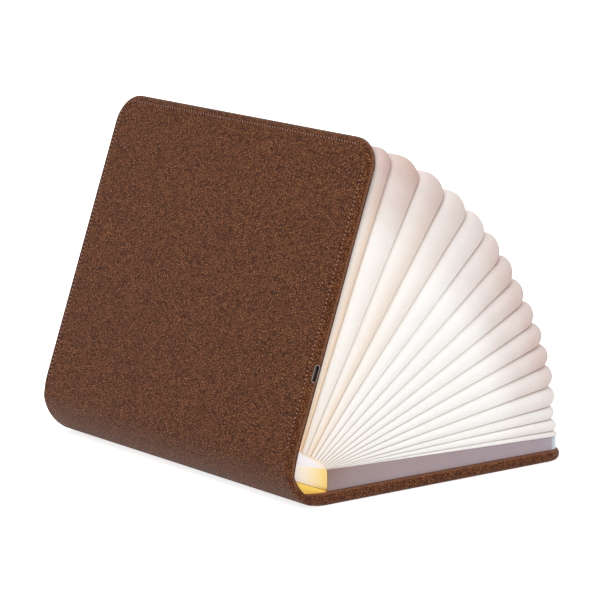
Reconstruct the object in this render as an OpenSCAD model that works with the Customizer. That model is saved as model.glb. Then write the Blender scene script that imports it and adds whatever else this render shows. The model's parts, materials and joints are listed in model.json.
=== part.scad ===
// Folding book lamp. It lies on its back cover with the front cover held open, and a
// pleated paper bellows fans out between the two covers.
// Origin: centre of the face that it lies on. +X spine to fore-edge, +Y tail to head, +Z up.

/* [Covers] */
// Height of the covers, tail to head
cover_h = 215; // [150:1:300]
// Width of a cover, spine to fore-edge
cover_w = 162; // [120:1:240]
// Thickness of the closed lamp over both covers
closed_t = 30; // [27:0.5:45]
// Angle between the covers as the lamp is displayed
open_angle = 70.3; // [45:0.1:100]
// Thickness of the stiff board inside a cover
board_t = 4; // [3.8:0.1:5]
// Thickness of the leather skin
leather_t = 0.8; // [0.5:0.1:1.2]
// Radius of the cover corners at the fore-edge
corner_r = 14; // [8:0.5:20]
// Width of the leather turned in over the edge of the board
turn_in = 12; // [10:0.5:18]

/* [Spine] */
// Thickness of the board in the spine
spine_board_t = 2; // [1.5:0.1:2.5]
// Height of the spine's curve over the flat between its hinge lines
spine_bulge = 4.2; // [2:0.1:5]
// Depth of the hinge line below the outer face
hinge_depth = 1; // [0.6:0.1:1.5]
// Half gap between panels at the hinge line
hinge_gap = 0.25; // [0.2:0.05:0.5]

/* [Lamp] */
// Width of the light channel
channel_w = 16; // [13:0.5:18]
// Depth of the light channel
channel_d = 5; // [4:0.1:5.5]
// Number of light emitters
led_count = 18; // [8:1:24]
// Distance of the channel ends from the tail and head edges
channel_inset = 9; // [8:0.5:20]

/* [Battery tray] */
// Height of the tray with its lid
tray_t = 11; // [9:0.1:12]
// Wall of the tray
tray_wall = 1.6; // [1.2:0.1:2.5]
// Thickness of the tray lid
lid_t = 1.6; // [1.2:0.1:2.5]
// Length of the battery cell
cell_l = 100; // [60:1:130]
// Width of the battery cell
cell_w = 60; // [40:1:80]
// Margin from the cover edges to the tray and the pages
page_margin = 3; // [2:0.5:6]
// Distance of the tray and pages from the hinge line
page_start = 9.5; // [9.2:0.1:14]
// Radius of the tray corners at the fore-edge
tray_r = 9; // [5:0.5:14]

/* [Pages] */
// Thickness of the plate that carries the last page
plate_t = 2.2; // [1.5:0.1:2.5]
// Lobes below the seam that stands on the spine's middle
lobes_below = 9; // [9:1:10]
// Growth of the seam angle from the tray to the front cover
fan_power = 1.5; // [1:0.05:1.55]
// Height of a lobe's crown above its seams at the fore-edge
crown = 5.8; // [2:0.1:7]
// Height of a lobe's crown above its seams at tail and head
side_crown = 1.6; // [0.8:0.1:3]
// Margin from the fore-edge of a cover to the crowns of the pages
fore_margin = 0.2; // [0.2:0.1:4]
// Thickness of the paper
paper_t = 0.4; // [0.3:0.05:0.6]
// Gap between the edges of two lobes at their seam
seam_gap = 0.3; // [0.2:0.05:0.4]
// Radius of the page corners at the fore-edge
page_r = 6; // [4:0.5:10]

/* [Charging socket] */
// Distance of the socket from the hinge line, along the tail edge of the front cover
socket_u = 45.5; // [38:0.5:110]
// Width of the socket shell
socket_w = 9; // [8.5:0.1:10]
// Height of the socket shell
socket_h = 3.2; // [2.8:0.1:3.3]
// Depth of the socket shell
socket_d = 7.4; // [6:0.1:9]

/* [Magnets] */
// Diameter of a closing magnet
magnet_d = 10; // [6:0.5:14]
// Thickness of a closing magnet
magnet_t = 2; // [1:0.1:2.4]

/* [Hidden] */

$fn = 48;
lobe_count = 15;                              // one node each
fit = 0.2;                                    // general clearance between loose pieces
cover_t = board_t + 2 * leather_t;            // padded thickness of a cover
spine_t = spine_board_t + 2 * leather_t;      // thickness of the spine
panel_w = cover_w - hinge_depth;              // hinge line to fore-edge
hinge_span = closed_t - 2 * hinge_depth;      // hinge line to hinge line
half_open = open_angle / 2;
board_margin = cover_t / 2 - 0.6;             // leather left round the board
board_start = cover_t + 1;                    // hinge line to the board
leather_brown = [0.40, 0.23, 0.17];
paper_white = [0.97, 0.94, 0.88];
plastic_white = [0.86, 0.85, 0.86];

// ---- Frames. A panel frame has x from its hinge line to the far edge, z from its
// ---- outer face inwards. The profile points below are [x, z] with hinge A at x = 0.
hinge_a = [0, hinge_depth];
hinge_b = hinge_a + hinge_span * [-sin(half_open), cos(half_open)];
front_origin = hinge_b + hinge_depth * [-sin(open_angle), cos(open_angle)];
spine_origin = hinge_a - hinge_depth * [cos(half_open), sin(half_open)];

module model_frame() translate([-panel_w / 2, 0, 0]) children();
module panel_frame(origin, angle)
    model_frame() translate([origin[0], 0, origin[1]]) rotate([0, -angle, 0]) mirror([0, 0, 1]) children();
module front_frame() panel_frame(front_origin, open_angle) children();
module spine_frame() panel_frame(spine_origin, 90 + half_open) children();
module along_y(length) rotate([90, 0, 0]) linear_extrude(length, center = true) children();

// ---- Shared outlines. They run from x = start to x = end, and have round corners at the end.
module leaf_outline(start, end, height, r) {
    translate([start, -height / 2]) square([end - r - start, height]);
    translate([start, r - height / 2]) square([end - start, height - 2 * r]);
    for (side = [-1, 1]) translate([end - r, side * (height / 2 - r)]) circle(r);
}

module board_outline(inset = 0)
    leaf_outline(board_start + inset, panel_w - board_margin - inset, cover_h - 2 * board_margin - 2 * inset,
        corner_r - board_margin);

module page_outline(inset = 0)
    leaf_outline(page_start + inset, panel_w - page_margin - inset, cover_h - 2 * page_margin - 2 * inset,
        max(tray_r - inset, 1));

// Half-round edge along a straight side and round a corner
module padded_panel(length) {
    edge_r = cover_t / 2;
    linear_extrude(cover_t) leaf_outline(0, length - edge_r, cover_h - cover_t, corner_r - edge_r);
    for (side = [-1, 1]) {
        translate([0, side * (cover_h / 2 - edge_r), edge_r]) rotate([0, 90, 0]) cylinder(h = length - corner_r, r = edge_r);
        translate([length - corner_r, side * (cover_h / 2 - corner_r), edge_r]) rotate([0, 0, side > 0 ? 0 : -90])
            rotate_extrude(angle = 90) translate([corner_r - edge_r, 0]) circle(edge_r);
    }
    translate([length - edge_r, 0, edge_r]) rotate([90, 0, 0])
        cylinder(h = cover_h - 2 * corner_r, r = edge_r, center = true);
}

// Clearance wedge that ends a panel at its hinge line, and lets the next panel fold both ways
module hinge_wedge(reach = 12)
    along_y(cover_h + 2) polygon([[-reach, -reach], [hinge_gap + hinge_depth + reach, -reach],
        [hinge_gap, hinge_depth], [hinge_gap + reach, hinge_depth + reach], [-reach, hinge_depth + reach]]);

module cover_leather() difference() {
    padded_panel(panel_w);
    hinge_wedge();
    translate([0, 0, leather_t]) linear_extrude(board_t) board_outline();
    translate([0, 0, leather_t + board_t - 0.01]) linear_extrude(leather_t + 1) board_outline(turn_in);
}

module cover_lining() translate([0, 0, leather_t + board_t]) linear_extrude(leather_t / 2) board_outline(turn_in + fit);

// ---- Magnets, three along the fore-edge of each cover
magnet_u = panel_w - turn_in - magnet_d / 2;
magnet_pitch = (cover_h - 6 * turn_in) / 2;
module magnet_places() for (k = [-1 : 1]) translate([magnet_u, k * magnet_pitch, leather_t + board_t - magnet_t]) children();
module magnet_pockets() magnet_places() cylinder(h = magnet_t + 1, d = magnet_d + 2 * fit);
module magnets() magnet_places() cylinder(h = magnet_t, d = magnet_d);

// ---- Back cover
pcb = [46, 34, 1];                           // control board in the front cover
pcb_u = socket_u;
pcb_y = socket_d + 1.4 + pcb[1] / 2 - cover_h / 2;
switch_u = pcb_u - pcb[0] / 2 + 4;           // lid switch, and the magnet below that trips it
switch_y = pcb_y + 11;
trigger_d = 6;
module switch_place() translate([switch_u, switch_y, leather_t + board_t - magnet_t]) children();

module back_board() color("burlywood") model_frame() difference() {
    translate([0, 0, leather_t]) linear_extrude(board_t) board_outline();
    magnet_pockets();
    switch_place() cylinder(h = magnet_t + 1, d = trigger_d + 2 * fit);
}
module back_leather() color(leather_brown) model_frame() cover_leather();
module back_lining() color(paper_white) model_frame() cover_lining();
module back_magnets() color("silver") model_frame() magnets();
module switch_magnet() color("silver") model_frame() switch_place() cylinder(h = magnet_t, d = trigger_d);

// ---- Battery tray: a moulded shell, ribbed inside, screwed to its lid
tray_floor = 1.2;
tray_top = cover_t + tray_t;
boss_d = 6;
screw_d = 2.2;
screw_head_d = 4;
boss_inset = tray_wall + boss_d / 2;
boss_u = [page_start + boss_inset + 1, panel_w - page_margin - boss_inset - tray_r / 2];
boss_y = cover_h / 2 - page_margin - boss_inset - 1;
cell_u = (page_start + panel_w - page_margin) / 2;
cell_gap = 1;
rib_t = 1.2;
rib_h = tray_t - lid_t - tray_floor - 0.4;
module boss_places() for (u = boss_u, side = [-1, 1]) translate([u, side * boss_y, 0]) children();

// Stiffening ribs either side of the cell, and the frame that holds the cell
module tray_ribs() {
    free_y = boss_y - boss_d / 2 - 2;
    span = panel_w - page_margin - page_start - 2 * tray_wall;
    for (side = [-1, 1], k = [1 : 2])
        translate([page_start + tray_wall, side * (cell_l / 2 + cell_gap + rib_t + k * (free_y - cell_l / 2) / 3), 0])
            translate([-0.5, -rib_t / 2, 0]) cube([span + 1, rib_t, rib_h]);
    difference() {
        translate([cell_u, 0, 0]) linear_extrude(rib_h * 0.75)
            square([cell_w + 2 * (cell_gap + rib_t), cell_l + 2 * (cell_gap + rib_t)], center = true);
        translate([cell_u, 0, -1]) linear_extrude(rib_h + 2)
            square([cell_w + 2 * cell_gap, cell_l + 2 * cell_gap], center = true);
        translate([cell_u - cell_w, 0, -1]) linear_extrude(rib_h + 2) square([cell_w, 12], center = true);
    }
}

module battery_tray() color(plastic_white) model_frame() translate([0, 0, cover_t]) difference() {
    union() {
        difference() {
            linear_extrude(tray_t - lid_t) page_outline();
            translate([0, 0, tray_floor]) linear_extrude(tray_t) page_outline(tray_wall);
        }
        boss_places() cylinder(h = tray_t - lid_t, d = boss_d);
        translate([0, 0, tray_floor]) tray_ribs();
    }
    boss_places() translate([0, 0, tray_floor]) cylinder(h = tray_t, d = screw_d - 0.2);
}
module tray_lid() color(plastic_white) model_frame() translate([0, 0, tray_top - lid_t]) difference() {
    linear_extrude(lid_t) page_outline();
    boss_places() translate([0, 0, -1]) cylinder(h = lid_t + 2, d = screw_d + 2 * fit);
    boss_places() translate([0, 0, lid_t / 2]) cylinder(h = lid_t, d = screw_head_d + 2 * fit);
}
module tray_screws() color("silver") model_frame() boss_places() {
    translate([0, 0, tray_top - lid_t / 2]) cylinder(h = lid_t / 2 - 0.1, d = screw_head_d);
    translate([0, 0, tray_top - lid_t - 4]) cylinder(h = 4 + lid_t / 2, d = screw_d - 0.2);
}
pad_t = 1;
cell_t = rib_h - pad_t - 0.8;
module battery_pad() color("dimgray") model_frame() translate([cell_u, 0, cover_t + tray_floor])
    linear_extrude(pad_t) square([cell_w - 8, cell_l - 8], center = true);
module battery_cell() color("lightsteelblue") model_frame() translate([cell_u, 0, cover_t + tray_floor + pad_t]) {
    edge = 1.5;
    linear_extrude(cell_t) square([cell_w - 2 * edge, cell_l], center = true);
    for (side = [-1, 1]) translate([side * (cell_w / 2 - edge), 0, cell_t / 2])
        linear_extrude(cell_t / 2 + edge, center = true) square([2 * edge, cell_l - 4], center = true);
}

// ---- Spine: a curved strip between the two hinge lines, with the light along its inside.
// ---- In the spine's frame its outer face is an arc through both ends of the flat line z = 0.
spine_r = (hinge_span * hinge_span / 4 + spine_bulge * spine_bulge) / (2 * spine_bulge);
spine_sweep = asin(hinge_span / 2 / spine_r);
inner_r = spine_r - spine_t;
function inner_z(x) = spine_r - spine_bulge - sqrt(inner_r * inner_r - pow(x - hinge_span / 2, 2));
module spine_axis() translate([hinge_span / 2, 0, spine_r - spine_bulge]) rotate([90, 0, 0]) children();
module spine_arc(sweep) spine_axis() rotate([0, 0, -90 - sweep]) rotate_extrude(angle = 2 * sweep, $fn = 180) children();

module spine_leather() color(leather_brown) spine_frame() difference() {
    spine_arc(spine_sweep + 3) translate([spine_r - spine_t / 2, 0]) {
        square([spine_t, cover_h - spine_t], center = true);
        for (side = [-1, 1]) translate([0, side * (cover_h - spine_t) / 2]) circle(d = spine_t);
    }
    hinge_wedge();
    translate([hinge_span, 0, 0]) mirror([1, 0, 0]) hinge_wedge();
    spine_slot();
}
spine_end = 4;                                // leather beyond the spine board at tail and head
spine_board_sweep = spine_sweep * 0.68;
module spine_slot() spine_arc(spine_board_sweep)
    translate([spine_r - leather_t - spine_board_t, spine_end - cover_h / 2]) square([spine_board_t, cover_h - 2 * spine_end]);
module spine_board() color("burlywood") spine_frame() spine_slot();

channel_l = cover_h - 2 * channel_inset;
channel_wall = 1;
channel_z = inner_z(hinge_span / 2 - channel_w / 2);   // the channel's base, with a curved foot under it
strip_w = channel_w - 2 * channel_wall - 3;
strip_t = 1;
lip_r = 0.4;                                  // bead that the lens snaps under
module led_channel() color(plastic_white) spine_frame() {
    translate([hinge_span / 2, 0, channel_z]) along_y(channel_l) difference() {
        translate([-channel_w / 2, -0.01]) square([channel_w, channel_d]);
        translate([-channel_w / 2 + channel_wall, channel_wall]) square([channel_w - 2 * channel_wall, channel_d]);
        for (side = [-1, 1]) translate([side * (channel_w / 2 - channel_wall), channel_d - 3 * lip_r]) circle(lip_r);
    }
    translate([hinge_span / 2, 0, spine_r - spine_bulge]) along_y(channel_l) intersection() {
        circle(inner_r - 0.05, $fn = 180);
        translate([-channel_w / 2, channel_z + spine_bulge - 2 * spine_r]) square([channel_w, spine_r]);
    }
}
module led_strip() color("seagreen") spine_frame() translate([hinge_span / 2, 0, channel_z + channel_wall])
    along_y(channel_l - 4) translate([-strip_w / 2, 0]) square([strip_w, strip_t]);
led_size = [3.5, 2.8, 1];
module led_emitters() color("khaki") spine_frame() for (k = [0 : led_count - 1])
    translate([hinge_span / 2, (k - (led_count - 1) / 2) * (channel_l - 14) / max(led_count - 1, 1),
        channel_z + channel_wall + strip_t + led_size[2] / 2]) difference() {
            cube(led_size, center = true);
            translate([0, 0, led_size[2] / 2 - 0.3]) cylinder(h = 1, d = led_size[1] - 0.6);
        }
// Snap-in lens: flat lips under a shallow crown
lens_w = channel_w - 2 * channel_wall - 2 * fit;
lens_rise = 0.9;
lens_r = (lens_w * lens_w / 4 + lens_rise * lens_rise) / (2 * lens_rise);
module led_diffuser() color([0.98, 0.96, 0.9]) spine_frame() translate([hinge_span / 2, 0, channel_z + channel_d - 0.9])
    along_y(channel_l - 1) intersection() {
        translate([-lens_w / 2, -0.7]) square([lens_w, 0.7 + lens_rise]);
        translate([0, lens_rise - lens_r]) circle(lens_r, $fn = 180);
    }

// ---- Front cover
pocket_depth = board_t - 0.5;
front_pcb_z = leather_t + board_t - pocket_depth + fit;
socket_z = cover_t / 2;
socket_y = -cover_h / 2 + 0.3;

module socket_outline(grow = 0) {
    r = socket_h / 2 + grow;
    for (side = [-1, 1]) translate([side * (socket_w / 2 - socket_h / 2), 0]) circle(r);
    square([socket_w - socket_h, 2 * r], center = true);
}
module socket_space(grow, start, length) translate([socket_u, start, socket_z])
    rotate([-90, 0, 0]) linear_extrude(length) socket_outline(grow);

module front_board() color("burlywood") front_frame() difference() {
    translate([0, 0, leather_t]) linear_extrude(board_t) board_outline();
    magnet_pockets();
    translate([pcb_u - pcb[0] / 2 - 1, pcb_y - pcb[1] / 2 - 1, leather_t + board_t - pocket_depth])
        cube([pcb[0] + 2, pcb[1] + 2, board_t]);
    socket_space(fit, -cover_h / 2 - 1, socket_d + 4);
    cable_slot();
}
// Slot that leads the flat cable from the control board to the spine
slot_w = 8;
module cable_slot() translate([board_start - 1, pcb_y - slot_w / 2, leather_t + board_t - 1])
    cube([pcb_u - pcb[0] / 2 - board_start + 2, slot_w, 2]);
module front_leather() color(leather_brown) front_frame() difference() {
    cover_leather();
    socket_space(fit, -cover_h / 2 - 1, socket_d + 1);
}
module front_lining() color(paper_white) front_frame() cover_lining();
module front_magnets() color("silver") front_frame() magnets();
module page_plate() color(plastic_white) front_frame() translate([0, 0, cover_t]) linear_extrude(plate_t) page_outline();

module socket_shell() color("silver") front_frame() translate([socket_u, socket_y, socket_z]) rotate([-90, 0, 0]) difference() {
    linear_extrude(socket_d) socket_outline();
    translate([0, 0, -1]) linear_extrude(socket_d) socket_outline(-0.35);
}
module socket_tongue() color("black") front_frame() translate([socket_u, socket_y + socket_d - 1.2, socket_z])
    rotate([90, 0, 0]) linear_extrude(socket_d - 2) square([socket_w - 3, 0.7], center = true);

module control_board() color("seagreen") front_frame()
    translate([pcb_u - pcb[0] / 2, pcb_y - pcb[1] / 2, front_pcb_z]) cube(pcb);
parts_z = front_pcb_z + pcb[2];
module board_parts() color("dimgray") front_frame() translate([pcb_u, pcb_y, parts_z]) {
    translate([-12, 4, 0]) cube([6, 6, 0.9]);
    translate([2, 6, 0]) cube([5, 4, 1]);
    translate([10, -8, 0]) cube([4, 4, 1.2]);
    translate([-18, -10, 0]) cube([7, 5, 1.2]);
    for (k = [0 : 4]) translate([-4 + 3.2 * k, -2, 0]) cube([1.6, 0.8, 0.6]);
    for (k = [0 : 3]) translate([-6 + 3.2 * k, -12, 0]) cube([1.6, 0.8, 0.6]);
}
switch_size = [3, 1.6, 1.2];
module lid_switch() color("black") front_frame()
    translate([switch_u - switch_size[0] / 2, switch_y - switch_size[1] / 2, parts_z]) cube(switch_size);

// ---- Bellows. Seam k stands at seam_angle(k). Closed, the seams stack evenly between
// ---- the tray lid and the page plate; seam_height is that height above hinge A.
stack_low = tray_top - hinge_depth;
stack_high = hinge_span - (cover_t - hinge_depth) - plate_t;
last = lobe_count - 1;
top_seam_angle = half_open / pow(lobes_below / last, fan_power);
function seam_angle(k) = k == lobe_count ? open_angle : top_seam_angle * pow(k / last, fan_power);
function seam_height(k) = stack_low + (stack_high - stack_low) * k / lobe_count;
function heading(angle) = [cos(angle), sin(angle)];
function above(angle) = [-sin(angle), cos(angle)];
function seam_foot(k) = k <= lobes_below
    ? hinge_a + seam_height(k) * above(seam_angle(k))
    : hinge_b - (hinge_span - seam_height(k)) * above(seam_angle(k));
seam_reach = panel_w - fore_margin - crown;             // foot of a seam to its fore-edge end
function seam_end(k) = seam_foot(k) + seam_reach * heading(seam_angle(k));
// Inner ends of the seams lie on two straight runs, which meet on the middle seam
hub_low = [page_start, tray_top + seam_gap];
hub_high = front_origin + page_start * heading(open_angle) - (cover_t + plate_t + seam_gap) * above(open_angle);
mid_foot = seam_foot(lobes_below);
mid_dir = heading(half_open);
hub_run = hub_high - hub_low;
mid_share = cross2(mid_foot - hub_low, mid_dir) / cross2(hub_run, mid_dir);
hub_mid = hub_low + mid_share * hub_run;
function cross2(a, b) = a[0] * b[1] - a[1] * b[0];
function mix(a, b, t) = a + (b - a) * t;
function seam_start(k) = k <= lobes_below
    ? mix(hub_low, hub_mid, k / lobes_below)
    : mix(hub_mid, hub_high, (k - lobes_below) / (lobe_count - lobes_below));
function unit(v) = v / norm(v);

// Stations round the page edge: [share of the straight run, angle round the corner, share along the fore-edge]
run_shares = [0, 0.03, 0.08, 0.2, 0.4, 0.6, 0.8, 1];
arc_steps = 4;
page_half = cover_h / 2 - page_margin - side_crown;     // half height of the page at its seams
stations = concat(
    [for (f = run_shares) [f, 0, -1]],
    [for (k = [1 : arc_steps]) [1, 90 * k / arc_steps, -1]],
    [for (f = [-0.33, 0.33]) [1, 90, f]],
    [for (k = [0 : arc_steps]) [1, 90 * (arc_steps - k) / arc_steps, 1]],
    [for (k = [len(run_shares) - 2 : -1 : 0]) [run_shares[k], 0, 1]]);
// Point of seam k at a station, as [x, z], and the page's y there
function seam_point(k, st) = let (a = seam_start(k), b = seam_end(k), run = norm(b - a) - page_r)
    a + unit(b - a) * (st[0] * run + page_r * sin(st[1]));
function station_y(st) = let (side = st[2] < 0 ? -1 : 1)
    st[1] == 90 && abs(st[2]) < 1 ? st[2] * (page_half - page_r)
    : side * (page_half - page_r + page_r * cos(st[1]));
function seam_heading(k) = unit(seam_end(k) - seam_start(k));

crown_steps = 6;
crown_share = 0.38;                           // most that a crown rises, as a share of its lobe's width
crown_power = 0.55;                           // fullness of a crown: 1 is a parabola, 0 a flat top
// One ring of the lobe between seams k and k + 1: the crowned outside, then the inside backwards
function lobe_point(k, st, v, lift) = let (
    low = seam_point(k, st), high = seam_point(k + 1, st), width = norm(high - low),
    gap = min(seam_gap / 2 / width, 0.3), t = mix(gap, 1 - gap, v),
    height = mix(side_crown, crown, sin(st[1])),
    rise = min(height, crown_share * width) * pow(4 * v * (1 - v), crown_power) + lift,
    out = unit(mix(seam_heading(k), seam_heading(k + 1), t)),
    p = mix(low, high, t) + out * rise * sin(st[1]),
    side = st[2] < 0 ? -1 : 1)
    [p[0], station_y(st) + side * rise * cos(st[1]), p[1]];
function lobe_ring(k, st) = concat(
    [for (j = [0 : crown_steps]) lobe_point(k, st, j / crown_steps, 0)],
    [for (j = [crown_steps : -1 : 0]) lobe_point(k, st, j / crown_steps, -paper_t)]);

module page_lobe(number) color(paper_white) model_frame() {
    rings = [for (st = stations) lobe_ring(number - 1, st)];
    n = 2 * (crown_steps + 1);
    m = len(rings);
    polyhedron(
        points = [for (ring = rings, p = ring) p],
        faces = concat(
            [[for (j = [0 : n - 1]) j]],
            [for (i = [0 : m - 2], j = [0 : n - 1]) let (a = i * n + j, b = i * n + (j + 1) % n)
                each [[a, a + n, b], [b, a + n, b + n]]],
            [[for (j = [n - 1 : -1 : 0]) (m - 1) * n + j]]),
        convexity = 4);
}

// ---- Paper gussets that close the bellows at the spine's tail and head
gusset_t = 0.5;
gusset_y = page_half - gusset_t - 0.5;
function spine_point(u, w) = spine_origin + u * heading(90 + half_open) - w * above(90 + half_open);
gusset_gap = 0.4;
gusset_steps = 6;
module gusset(side) color(paper_white) model_frame() translate([0, side * (gusset_y - gusset_t / 2), 0])
    along_y(gusset_t) polygon(concat(
        [[page_start - 0.3, cover_t + gusset_gap],
        [page_start - 0.3, tray_top],
        hub_mid - 0.6 * mid_dir,
        hub_high - 0.8 * heading(open_angle)],
        [for (k = [0 : gusset_steps])
            let (x = mix(hinge_span - cover_t + 0.6, cover_t - 0.6, k / gusset_steps)) spine_point(x, inner_z(x) + gusset_gap)],
        [[cover_t / 2 + 1.5, cover_t + gusset_gap]]));

// ---- Flat cables across the two hinges
cable_t = 0.3;
cable_w = 6;
module flat_cable(points, y) color("goldenrod") model_frame() translate([0, y, 0]) along_y(cable_w)
    for (k = [0 : len(points) - 2]) let (d = unit(points[k + 1] - points[k]), s = [-d[1], d[0]] * cable_t / 2)
        polygon([points[k] - s, points[k + 1] - s, points[k + 1] + s, points[k] + s]);
module ribbon_back() flat_cable([
    spine_point((hinge_span - channel_w) / 2 - 0.3, channel_z + 2.5),
    spine_point((hinge_span - channel_w) / 2 - 0.6, channel_z + 0.8),
    [cover_t + 1, cover_t + 0.5],
    [page_start - 0.1, cover_t + 2]], 60);
module ribbon_front() flat_cable([
    spine_point((hinge_span + channel_w) / 2 + 0.3, channel_z + 2.5),
    spine_point((hinge_span + channel_w) / 2 + 0.6, channel_z + 0.8),
    front_origin + (board_start + 0.6) * heading(open_angle) - (cover_t + 0.4) * above(open_angle)], pcb_y);

module gusset_tail() gusset(-1);
module gusset_head() gusset(1);

back_board();
back_leather();
back_lining();
back_magnets();
switch_magnet();
battery_tray();
tray_lid();
tray_screws();
battery_cell();
battery_pad();
spine_leather();
spine_board();
led_channel();
led_strip();
led_emitters();
led_diffuser();
gusset_tail();
gusset_head();
ribbon_back();
ribbon_front();
front_board();
front_leather();
front_lining();
front_magnets();
page_plate();
control_board();
board_parts();
lid_switch();
socket_shell();
socket_tongue();
page_lobe(1);  // page_lobe_01
page_lobe(2);  // page_lobe_02
page_lobe(3);  // page_lobe_03
page_lobe(4);  // page_lobe_04
page_lobe(5);  // page_lobe_05
page_lobe(6);  // page_lobe_06
page_lobe(7);  // page_lobe_07
page_lobe(8);  // page_lobe_08
page_lobe(9);  // page_lobe_09
page_lobe(10);  // page_lobe_10
page_lobe(11);  // page_lobe_11
page_lobe(12);  // page_lobe_12
page_lobe(13);  // page_lobe_13
page_lobe(14);  // page_lobe_14
page_lobe(15);  // page_lobe_15
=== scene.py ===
"""Folding book lamp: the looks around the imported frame. Lengths are in metres, and MM is a millimetre."""
import json
import math

import bmesh
import bpy
import numpy as np
from mathutils import Matrix, Vector, kdtree, noise


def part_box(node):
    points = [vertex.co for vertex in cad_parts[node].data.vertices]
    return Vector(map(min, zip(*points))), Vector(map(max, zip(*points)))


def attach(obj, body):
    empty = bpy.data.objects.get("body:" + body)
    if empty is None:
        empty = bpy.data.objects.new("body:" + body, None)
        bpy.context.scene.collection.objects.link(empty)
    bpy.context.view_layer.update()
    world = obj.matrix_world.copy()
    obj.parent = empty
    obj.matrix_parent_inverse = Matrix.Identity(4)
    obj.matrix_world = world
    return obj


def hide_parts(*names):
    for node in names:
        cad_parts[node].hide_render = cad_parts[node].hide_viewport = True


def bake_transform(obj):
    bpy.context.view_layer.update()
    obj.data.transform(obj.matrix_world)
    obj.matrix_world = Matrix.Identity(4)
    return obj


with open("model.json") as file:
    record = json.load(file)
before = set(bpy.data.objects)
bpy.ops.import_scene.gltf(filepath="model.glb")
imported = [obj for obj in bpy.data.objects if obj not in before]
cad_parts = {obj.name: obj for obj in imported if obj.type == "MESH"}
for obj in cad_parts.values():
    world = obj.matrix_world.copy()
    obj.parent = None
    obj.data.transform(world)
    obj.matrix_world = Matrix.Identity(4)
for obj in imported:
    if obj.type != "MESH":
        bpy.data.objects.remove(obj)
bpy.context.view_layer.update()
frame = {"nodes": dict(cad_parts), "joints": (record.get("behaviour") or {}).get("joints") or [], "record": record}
MM = 0.001

# ---------------- sizes, read from the frame
JOINTS = {j["name"]: j for j in frame["joints"]}


def xz(point):
    return np.array([point[0], point[2]])


HINGE_A = xz(JOINTS["back_hinge"]["pos_m"])
HINGE_B = xz(JOINTS["front_hinge"]["pos_m"])
HINGE_SPAN = float(np.linalg.norm(HINGE_B - HINGE_A))
HALF_OPEN = math.atan2(HINGE_A[0] - HINGE_B[0], HINGE_B[1] - HINGE_A[1])
OPEN = 2 * HALF_OPEN
HINGE_DEPTH = HINGE_A[1]

LEATHER_LOW, LEATHER_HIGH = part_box("back_leather")
COVER_H = LEATHER_HIGH.y - LEATHER_LOW.y
COVER_T = LEATHER_HIGH.z - LEATHER_LOW.z
PANEL_W = LEATHER_HIGH.x - HINGE_A[0]
CORNER_R = 14 * MM  # of the boards, which the stitches follow

TRAY_LOW, TRAY_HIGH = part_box("tray_lid")
PAGE_START = TRAY_LOW.x - HINGE_A[0]
PAGE_MARGIN = LEATHER_HIGH.x - TRAY_HIGH.x
TRAY_TOP = TRAY_HIGH.z
PLATE_T = 2.2 * MM


def heading(angle):
    return np.array([math.cos(angle), math.sin(angle)])


def above(angle):
    return np.array([-math.sin(angle), math.cos(angle)])


FRONT_ORIGIN = HINGE_B + HINGE_DEPTH * above(OPEN)
BACK_ORIGIN = HINGE_A - np.array([0, HINGE_DEPTH])


def back_point(u, w):
    """A point of the back cover's section: u from its hinge line outwards, w from its outer face inwards."""
    return BACK_ORIGIN + np.array([u, w])


def front_point(u, w):
    return FRONT_ORIGIN + u * heading(OPEN) - w * above(OPEN)


# ---------------- camera
CAMERA_AZIMUTH = math.radians(36.75)  # turned from +Y towards +X
CAMERA_TILT = math.radians(11.21)  # looking down
CAMERA_ROLL = math.radians(-0.46)
CAMERA_DISTANCE = 1.7695  # along the view, to the floor under hinge A's tail end
CAMERA_SHIFT = (7.5 * MM, -100.27 * MM)  # that place, right and up of the view's axis
FOCAL_PX = 3682.0  # in a picture 600 pixels wide
PICTURE_PX = 600.0
SENSOR_MM = 36.0


def make_camera():
    az, tilt = CAMERA_AZIMUTH, CAMERA_TILT
    right = Vector((math.cos(az), -math.sin(az), 0))
    ahead = Vector((math.sin(az) * math.cos(tilt), math.cos(az) * math.cos(tilt), -math.sin(tilt)))
    up = right.cross(ahead)
    roll = CAMERA_ROLL
    right, up = right * math.cos(roll) + up * math.sin(roll), up * math.cos(roll) - right * math.sin(roll)
    anchor = Vector((HINGE_A[0], -COVER_H / 2, 0))
    place = anchor - right * CAMERA_SHIFT[0] - up * CAMERA_SHIFT[1] - ahead * CAMERA_DISTANCE
    data = bpy.data.cameras.new("camera")
    data.sensor_width = SENSOR_MM
    data.lens = FOCAL_PX / PICTURE_PX * SENSOR_MM
    data.clip_start, data.clip_end = 0.05, 20
    camera = bpy.data.objects.new("camera", data)
    turn = Matrix((right, up, -ahead)).transposed().to_4x4()
    camera.matrix_world = Matrix.Translation(place) @ turn
    bpy.context.scene.collection.objects.link(camera)
    bpy.context.scene.camera = camera


make_camera()

# ---------------- light and floor


def area_light(name, place, target, size, power):
    data = bpy.data.lights.new(name, "AREA")
    data.shape = "RECTANGLE"
    data.size, data.size_y = size
    data.energy = power
    lamp = bpy.data.objects.new(name, data)
    lamp.location = place
    lamp.rotation_euler = (Vector(target) - Vector(place)).to_track_quat("-Z", "Y").to_euler()
    bpy.context.scene.collection.objects.link(lamp)


area_light("key", (-0.9, -0.5, 1.5), (0, 0, 0.08), (0.9, 0.9), 13)
area_light("fill", (0.5, -1.5, 0.9), (0, 0, 0.08), (1.2, 0.9), 6)
area_light("back", (0.9, 0.9, 1.3), (0, 0, 0.08), (0.9, 0.9), 6.5)


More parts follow.
